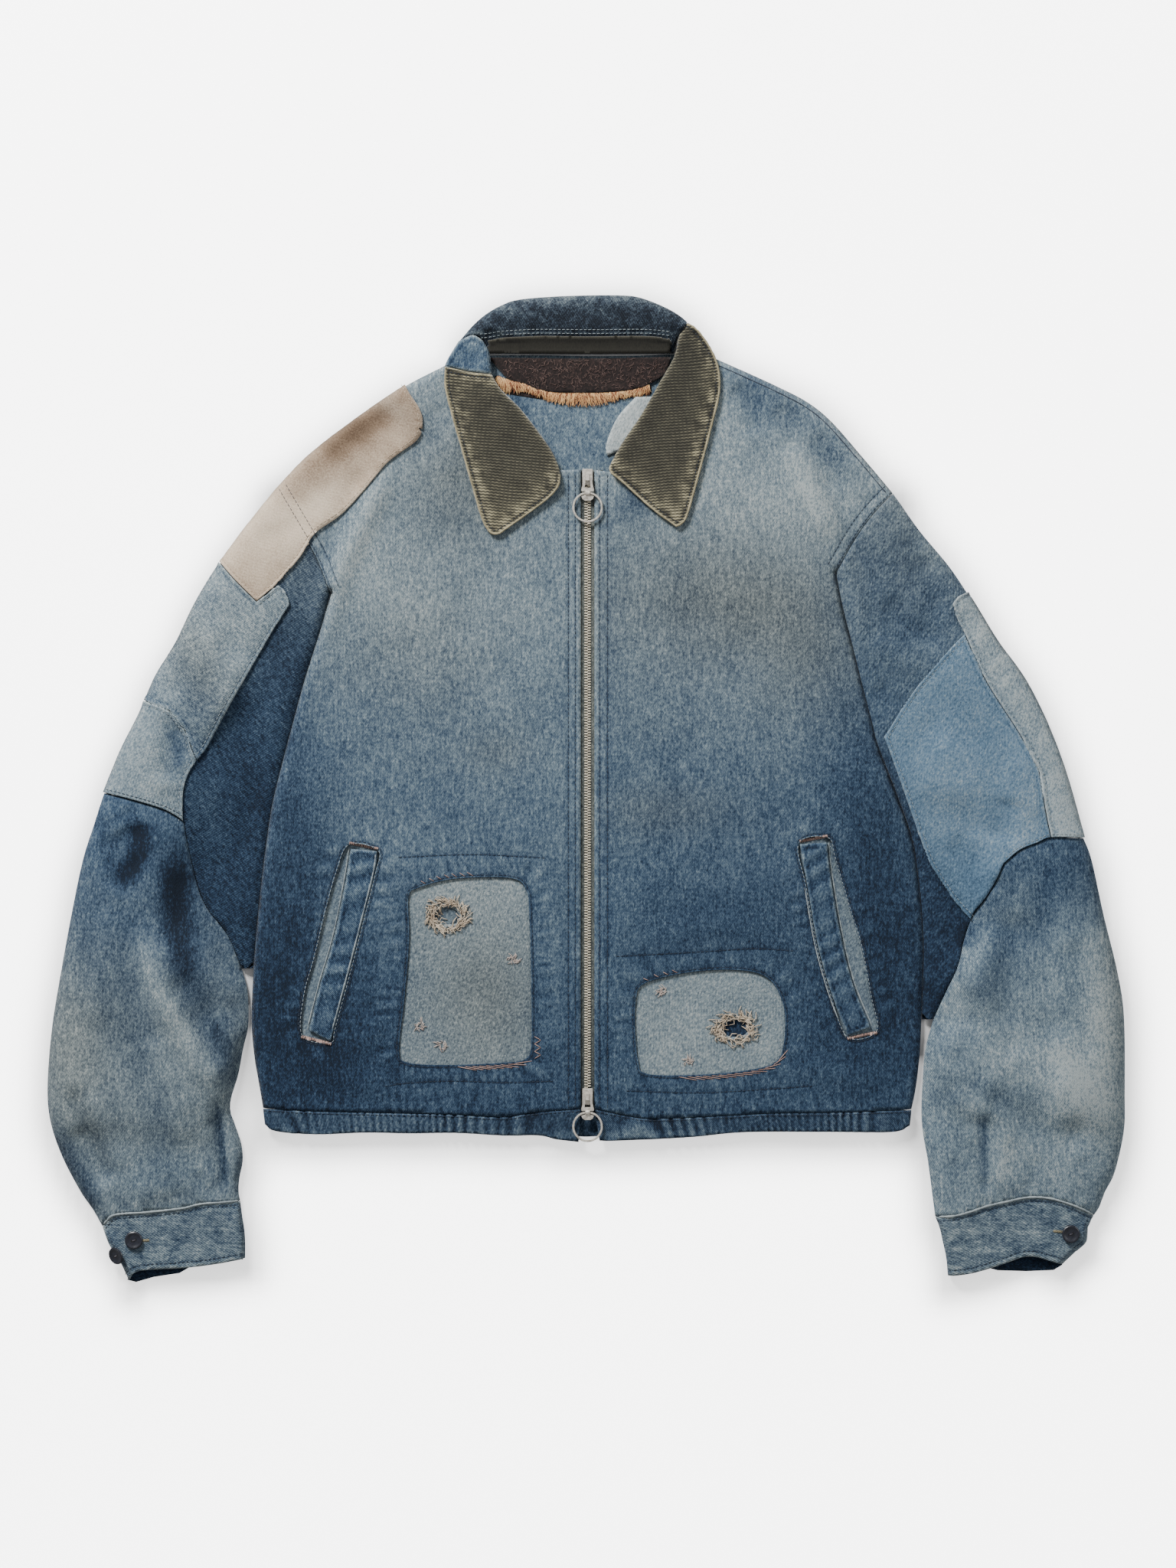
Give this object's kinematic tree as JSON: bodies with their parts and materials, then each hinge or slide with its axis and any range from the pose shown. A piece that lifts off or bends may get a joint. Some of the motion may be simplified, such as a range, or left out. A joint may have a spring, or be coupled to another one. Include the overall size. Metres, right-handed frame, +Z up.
{
  "type": "patched denim zip jacket laid flat",
  "caption": "Patched and faded denim zip jacket lying flat on its back, with a corduroy collar, gathered hem, buttoned cuffs and ring zip pulls that swing.",
  "frame": {"origin": "middle of the outline, on the surface that the jacket lies on", "axes": "+Z up from that surface, +Y towards the collar, +X to the jacket's own left sleeve"},
  "size_m": [0.8452, 0.772, 0.0238],
  "materials": {
    "denim_faded": "worn slubby denim",
    "denim_indigo": "dark slubby denim",
    "denim_mid": "worn denim",
    "denim_pale": "bleached soft denim",
    "canvas_cream": "soft cream canvas",
    "corduroy_olive": "worn olive corduroy",
    "wool_brown": "brown wool",
    "fringe_rust": "rust cotton fringe",
    "zip_tape_dark": "woven zip tape",
    "zip_teeth": "aged teeth",
    "zip_metal": "worn nickel plate",
    "button_navy": "satin two-hole button"
  },
  "bodies": {
    "root": {"back": "denim_faded", "front_left": "denim_faded", "front_right": "denim_faded", "hem_front_left": "denim_indigo", "hem_front_right": "denim_indigo", "hem_back": "denim_indigo", "sleeve_left_upper": "denim_indigo", "collar_back": "denim_indigo", "collar_wing_left": "denim_indigo", "backing_front_right": "denim_indigo", "sleeve_left_lower": "denim_mid", "sleeve_right_upper": "denim_mid", "sleeve_right_lower": "denim_mid", "cuff_left": "denim_mid", "cuff_right": "denim_mid", "welt_left": "denim_mid", "welt_right": "denim_mid", "backing_front_left": "denim_mid", "patch_front_left": "denim_pale", "patch_front_right": "denim_pale", "lining_left": "denim_pale", "lining_right": "denim_pale", "patch_arm_left": "denim_pale", "patch_elbow_left": "denim_pale", "patch_elbow_right": "denim_pale", "patch_strip_right": "denim_pale", "neck_inside_right": "denim_pale", "patch_shoulder_left": "canvas_cream", "collar_band": "corduroy_olive", "collar_leaf_left": "corduroy_olive", "collar_leaf_right": "corduroy_olive", "neck_facing": "wool_brown", "neck_fringe": "fringe_rust", "zip_tape_left": "zip_tape_dark", "zip_tape_right": "zip_tape_dark", "zip_chain": "zip_teeth", "slider_upper": "zip_metal", "slider_lower": "zip_metal", "button_left_upper": "button_navy", "button_left_lower": "button_navy", "button_right": "button_navy"},
    "tab_upper": {"tab_upper": "zip_metal"},
    "tab_lower": {"tab_lower": "zip_metal"},
    "ring_upper": {"ring_upper": "zip_metal"},
    "ring_lower": {"ring_lower": "zip_metal"}
  },
  "joints": [
    {"name": "tab_upper_hinge", "type": "hinge", "parent": "root", "child": "tab_upper", "pos_m": [0.00106, 0.24289, 0.0096], "axis": [-1, 0, 0], "range_deg": [0, 115]},
    {"name": "ring_upper_hinge", "type": "hinge", "parent": "tab_upper", "child": "ring_upper", "pos_m": [0.00106, 0.23054, 0.0085], "axis": [-1, 0, 0], "range_deg": [0, 60]},
    {"name": "tab_lower_hinge", "type": "hinge", "parent": "root", "child": "tab_lower", "pos_m": [0.00106, -0.24211, 0.0096], "axis": [-1, 0, 0], "range_deg": [0, 115]},
    {"name": "ring_lower_hinge", "type": "hinge", "parent": "tab_lower", "child": "ring_lower", "pos_m": [0.00106, -0.25446, 0.0085], "axis": [-1, 0, 0], "range_deg": [0, 60]}
  ]
}
